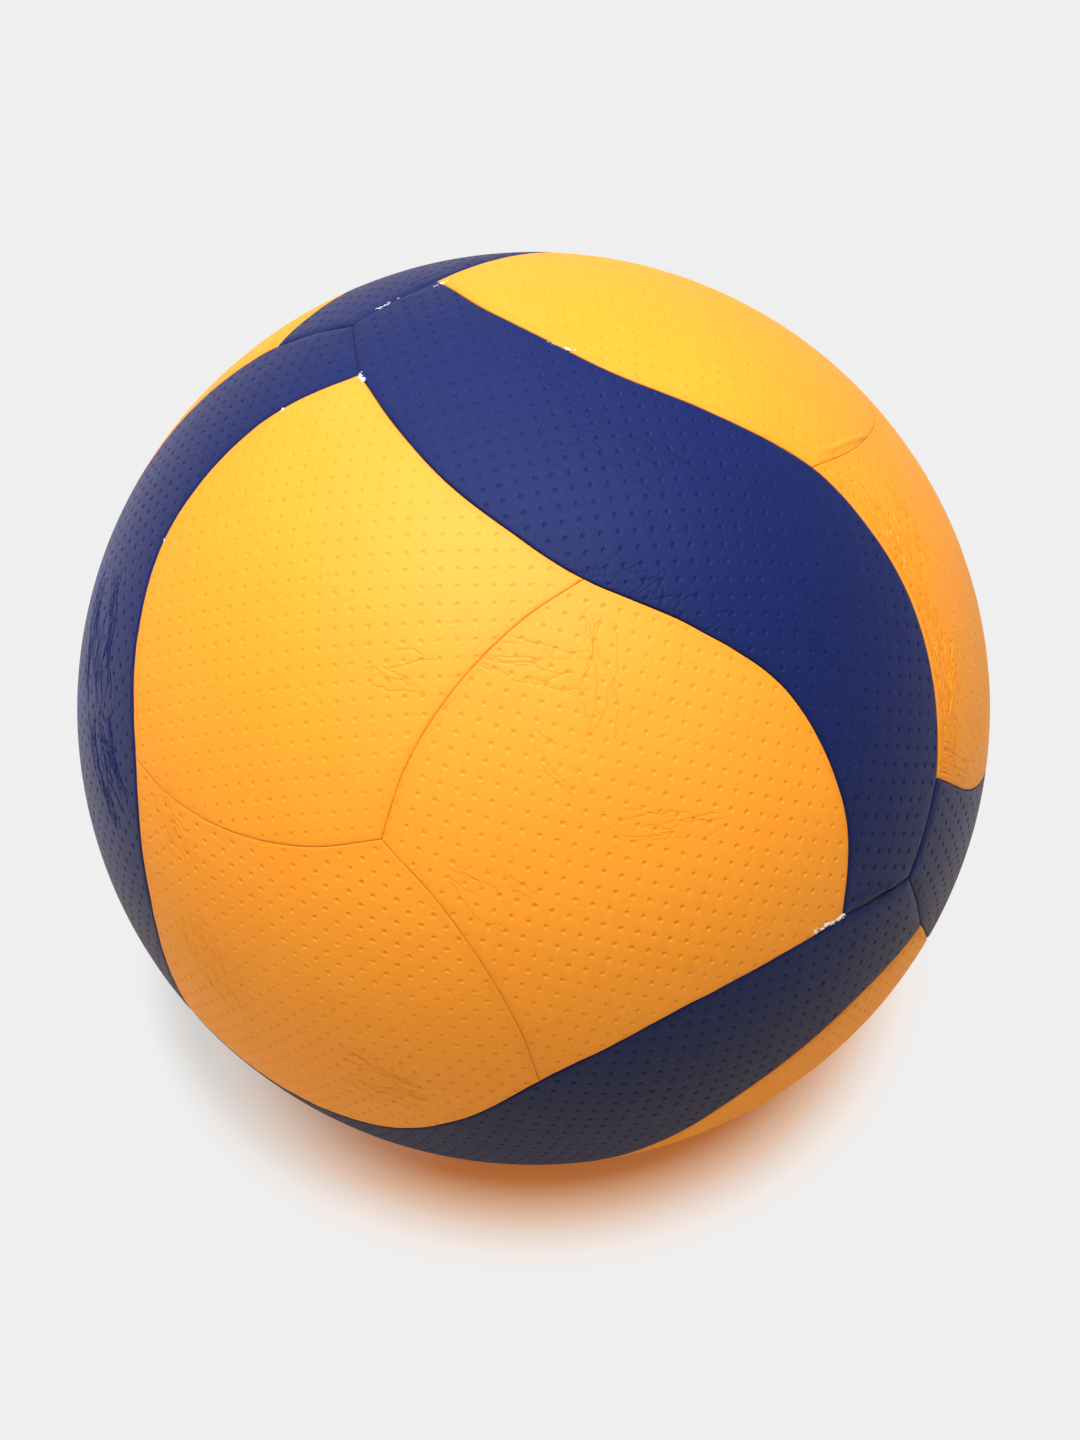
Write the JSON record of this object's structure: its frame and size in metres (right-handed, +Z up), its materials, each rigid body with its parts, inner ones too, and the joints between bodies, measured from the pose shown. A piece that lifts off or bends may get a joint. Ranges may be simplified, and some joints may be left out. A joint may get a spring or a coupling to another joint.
{
  "type": "indoor volleyball",
  "caption": "Inflated indoor volleyball with dimpled, swirled yellow and blue panels on foam backing, over a rubber carcass, thread winding and a butyl bladder with a needle valve.",
  "frame": {"origin": "centre of the ball", "axes": "+Z up, with the ball lying as in the picture; +Y points away from the picture's camera, +X to its right"},
  "size_m": [0.21, 0.21, 0.21],
  "materials": {
    "yellow_leather": "semi-matt microfibre polyurethane leather with small round dimples",
    "blue_leather": "semi-matt microfibre polyurethane leather with small round dimples",
    "foam_backing": "off-white foam with a cloth face",
    "carcass_rubber": "matt natural rubber",
    "nylon_thread": "wound nylon thread",
    "butyl_rubber": "smooth butyl rubber",
    "valve_rubber": "moulded rubber",
    "core_rubber": "moulded rubber"
  },
  "bodies": {
    "root": {"yellow_panel_1": "yellow_leather", "yellow_panel_2": "yellow_leather", "yellow_panel_3": "yellow_leather", "yellow_panel_4": "yellow_leather", "yellow_panel_5": "yellow_leather", "yellow_panel_6": "yellow_leather", "yellow_panel_7": "yellow_leather", "yellow_panel_8": "yellow_leather", "yellow_panel_9": "yellow_leather", "yellow_panel_10": "yellow_leather", "yellow_panel_11": "yellow_leather", "yellow_panel_12": "yellow_leather", "blue_panel_1": "blue_leather", "blue_panel_2": "blue_leather", "blue_panel_3": "blue_leather", "blue_panel_4": "blue_leather", "blue_panel_5": "blue_leather", "blue_panel_6": "blue_leather", "yellow_backing_1": "foam_backing", "yellow_backing_2": "foam_backing", "yellow_backing_3": "foam_backing", "yellow_backing_4": "foam_backing", "yellow_backing_5": "foam_backing", "yellow_backing_6": "foam_backing", "yellow_backing_7": "foam_backing", "yellow_backing_8": "foam_backing", "yellow_backing_9": "foam_backing", "yellow_backing_10": "foam_backing", "yellow_backing_11": "foam_backing", "yellow_backing_12": "foam_backing", "blue_backing_1": "foam_backing", "blue_backing_2": "foam_backing", "blue_backing_3": "foam_backing", "blue_backing_4": "foam_backing", "blue_backing_5": "foam_backing", "blue_backing_6": "foam_backing", "carcass": "carcass_rubber", "thread_winding": "nylon_thread", "bladder": "butyl_rubber", "valve_housing": "valve_rubber", "valve_core": "core_rubber"}
  },
  "joints": []
}
